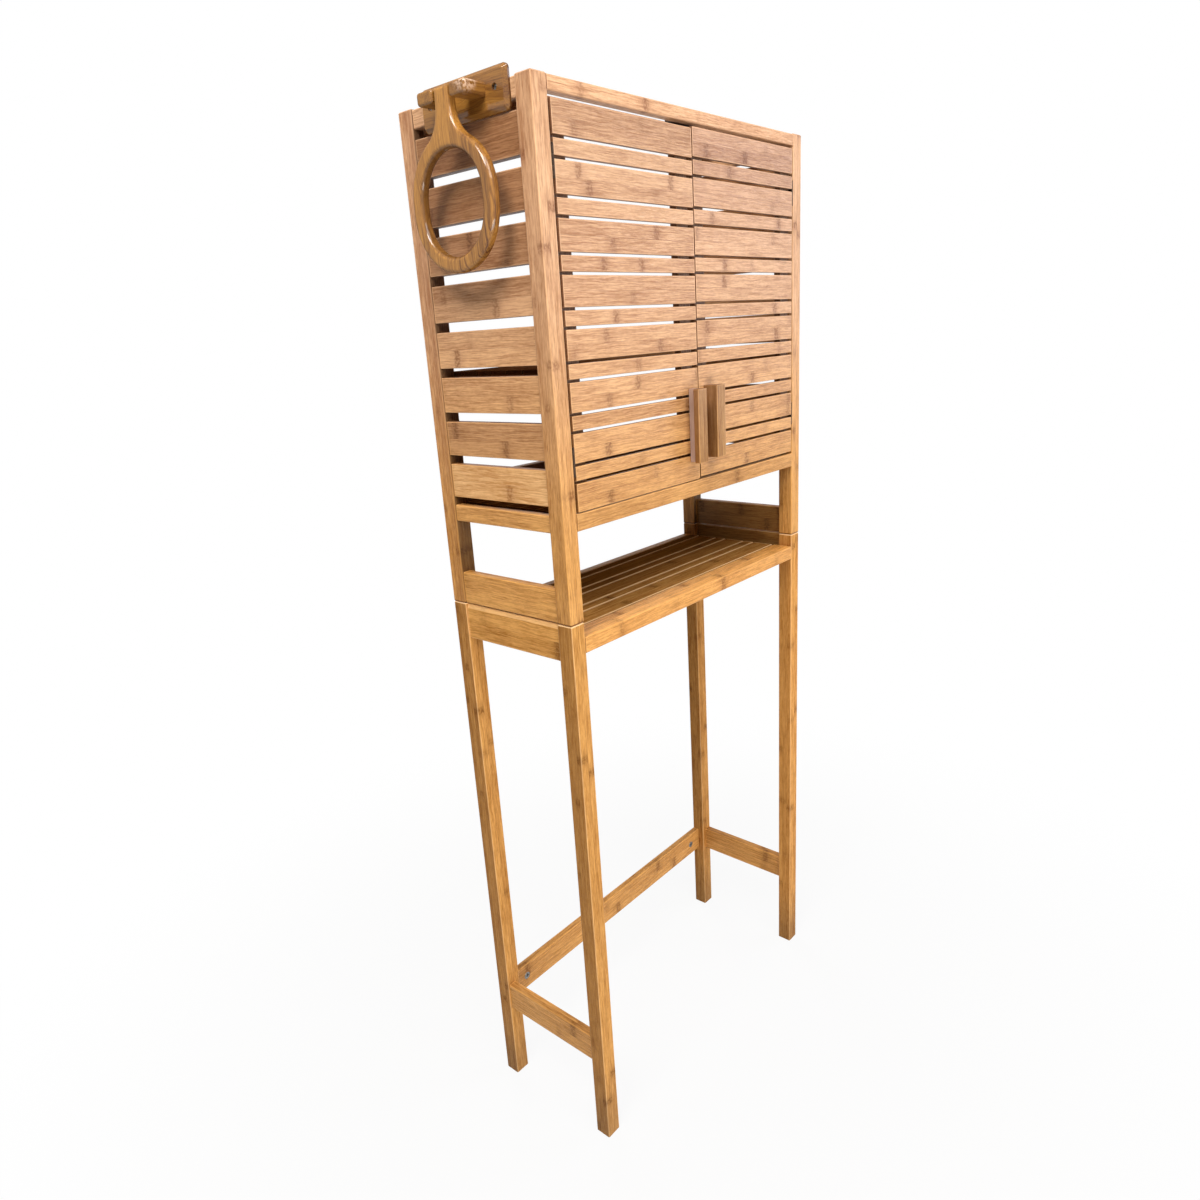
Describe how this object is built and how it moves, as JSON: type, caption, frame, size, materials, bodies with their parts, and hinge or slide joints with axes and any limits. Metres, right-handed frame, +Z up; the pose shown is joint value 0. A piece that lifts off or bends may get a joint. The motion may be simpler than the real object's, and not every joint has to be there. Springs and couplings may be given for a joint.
{
  "type": "over-toilet storage cabinet",
  "caption": "Tall bamboo storage cabinet on open legs, with slatted doors that swing, an open slatted shelf and a wooden towel ring that hangs on its left side.",
  "frame": {"origin": "on the floor, below the middle of the whole part's bounding box", "axes": "+X to the right, +Y to the wall behind, +Z up; the doors face -Y"},
  "size_m": [0.7006, 0.282, 1.655],
  "materials": {
    "bamboo": "satin lacquer",
    "oiled_wood": "semi-gloss oil",
    "dowel_wood": "raw",
    "steel": "zinc plated",
    "catch_plastic": "matt"
  },
  "bodies": {
    "frame": {"back_bottom_rail": "bamboo", "back_stretcher": "bamboo", "back_top_rail": "bamboo", "cam_bolts": "steel", "cam_locks": "steel", "door_catch": "catch_plastic", "floor_cleats": "bamboo", "floor_slats": "bamboo", "front_bottom_rail": "bamboo", "front_top_rail": "bamboo", "hinge_frame_leaves": "steel", "hinge_pins": "steel", "joint_rail_left": "bamboo", "joint_rail_right": "bamboo", "leg_back_left": "bamboo", "leg_back_right": "bamboo", "leg_dowels": "dowel_wood", "leg_front_left": "bamboo", "leg_front_right": "bamboo", "leg_rail_left": "bamboo", "leg_rail_right": "bamboo", "mid_shelf_cleats": "bamboo", "mid_shelf_slats": "bamboo", "post_back_left": "bamboo", "post_back_right": "bamboo", "post_front_left": "bamboo", "post_front_right": "bamboo", "ring_arms": "oiled_wood", "ring_pin": "steel", "ring_plate": "oiled_wood", "ring_screws": "steel", "shelf_back_rail": "bamboo", "shelf_cleats": "bamboo", "shelf_front_board": "bamboo", "shelf_slats": "bamboo", "side_bottom_rail_left": "bamboo", "side_bottom_rail_right": "bamboo", "side_slats_left": "bamboo", "side_slats_right": "bamboo", "side_stretcher_left": "bamboo", "side_stretcher_right": "bamboo", "side_top_rail_left": "bamboo", "side_top_rail_right": "bamboo", "top_cleats": "bamboo", "top_slats": "bamboo"},
    "left_door": {"left_door_slats": "bamboo", "left_door_outer_batten": "bamboo", "left_door_inner_batten": "bamboo", "left_door_grip": "bamboo", "left_grip_screws": "steel", "left_strike_plate": "steel", "left_hinge_door_leaves": "steel"},
    "right_door": {"right_door_slats": "bamboo", "right_door_outer_batten": "bamboo", "right_door_inner_batten": "bamboo", "right_door_grip": "bamboo", "right_grip_screws": "steel", "right_strike_plate": "steel", "right_hinge_door_leaves": "steel"},
    "towel_ring": {"towel_ring": "oiled_wood"}
  },
  "joints": [
    {"name": "left_door_hinge", "type": "hinge", "parent": "frame", "child": "left_door", "pos_m": [-0.27975, -0.1138, 1.357], "axis": [0, 0, -1], "range_deg": [0, 100]},
    {"name": "right_door_hinge", "type": "hinge", "parent": "frame", "child": "right_door", "pos_m": [0.32025, -0.1138, 1.359], "axis": [0, 0, 1], "range_deg": [0, 100]},
    {"name": "towel_ring_swing", "type": "hinge", "parent": "frame", "child": "towel_ring", "pos_m": [-0.34225, 0.004, 1.632], "axis": [0, 1, 0], "range_deg": [-5, 90]}
  ]
}
